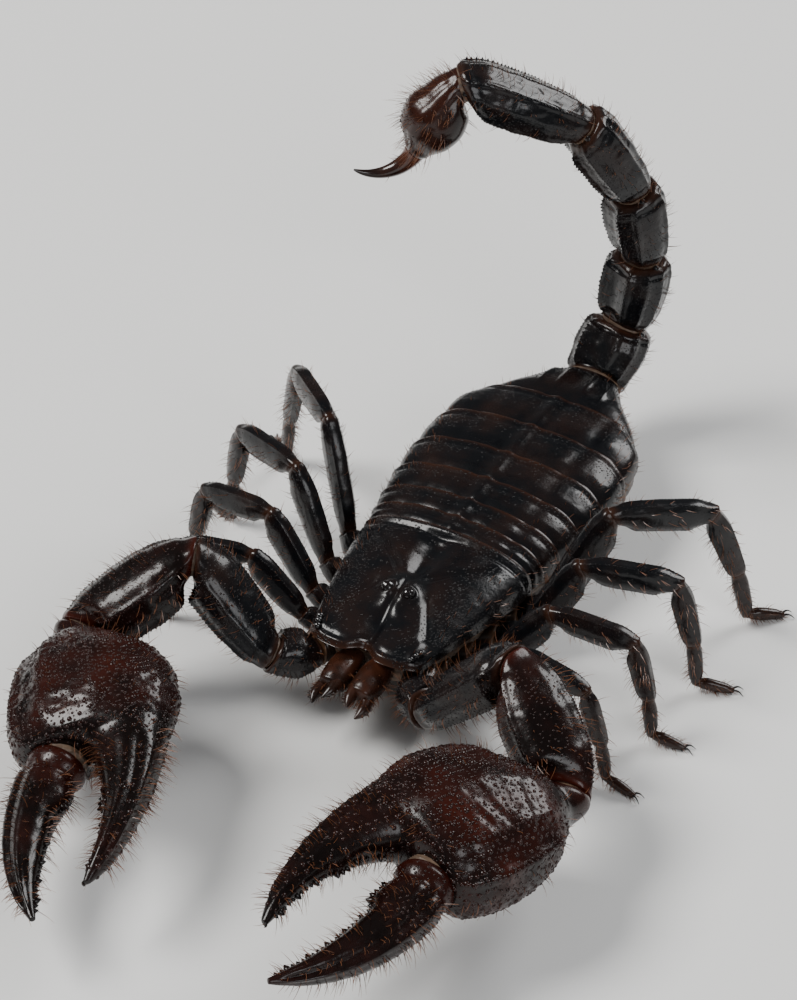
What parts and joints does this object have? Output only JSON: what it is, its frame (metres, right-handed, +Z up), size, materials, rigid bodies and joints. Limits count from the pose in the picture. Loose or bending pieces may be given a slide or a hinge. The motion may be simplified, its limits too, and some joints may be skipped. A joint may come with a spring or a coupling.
{
  "type": "scorpion",
  "caption": "Emperor scorpion at life size, standing alert with both pincers open in front and its jointed tail arched up and over to one side, sting forward.",
  "frame": {"origin": "middle of the bounding box's base, on the floor that the feet stand on", "axes": "-Y is the way the head faces, +X is the animal's left side, +Z is up"},
  "size_m": [0.0926, 0.1566, 0.0708],
  "materials": {
    "shell": "glossy black cuticle, finely granular",
    "claw": "black cuticle with a red-brown cast, coarse granules",
    "belly": "smooth brown-black plates",
    "jaw": "glossy chestnut brown, black at the tips",
    "telson": "glossy red-brown",
    "sting": "glossy near-black",
    "eye": "mirror-glossy black",
    "comb": "matt straw brown",
    "membrane": "soft matt folds between the plates",
    "hair": "stiff red-brown bristles"
  },
  "bodies": {
    "root": {"arm_left_coxa": "belly", "arm_left_femur": "shell", "arm_left_finger": "claw", "arm_left_hand": "claw", "arm_left_patella": "claw", "arm_left_trochanter": "shell", "arm_right_coxa": "belly", "arm_right_femur": "shell", "arm_right_finger": "claw", "arm_right_hand": "claw", "arm_right_patella": "claw", "arm_right_trochanter": "shell", "carapace": "shell", "chelicera_left": "jaw", "chelicera_right": "jaw", "genital_operculum": "belly", "lateral_eyes_left": "eye", "lateral_eyes_right": "eye", "leg_left_1_lower": "shell", "leg_left_1_upper": "shell", "leg_left_2_lower": "shell", "leg_left_2_upper": "shell", "leg_left_3_lower": "shell", "leg_left_3_upper": "shell", "leg_left_4_lower": "shell", "leg_left_4_upper": "shell", "leg_right_1_lower": "shell", "leg_right_1_upper": "shell", "leg_right_2_lower": "shell", "leg_right_2_upper": "shell", "leg_right_3_lower": "shell", "leg_right_3_upper": "shell", "leg_right_4_lower": "shell", "leg_right_4_upper": "shell", "median_eye_left": "eye", "median_eye_right": "eye", "pecten_left": "comb", "pecten_right": "comb", "sternite_3": "belly", "sternite_4": "belly", "sternite_5": "belly", "sternite_6": "belly", "sternite_7": "belly", "tail_1": "shell", "tail_2": "shell", "tail_3": "shell", "tail_4": "shell", "tail_5": "shell", "telson_sting": "sting", "telson_vesicle": "telson", "tergite_1": "shell", "tergite_2": "shell", "tergite_3": "shell", "tergite_4": "shell", "tergite_5": "shell", "tergite_6": "shell", "tergite_7": "shell", "underside": "belly"}
  },
  "joints": []
}
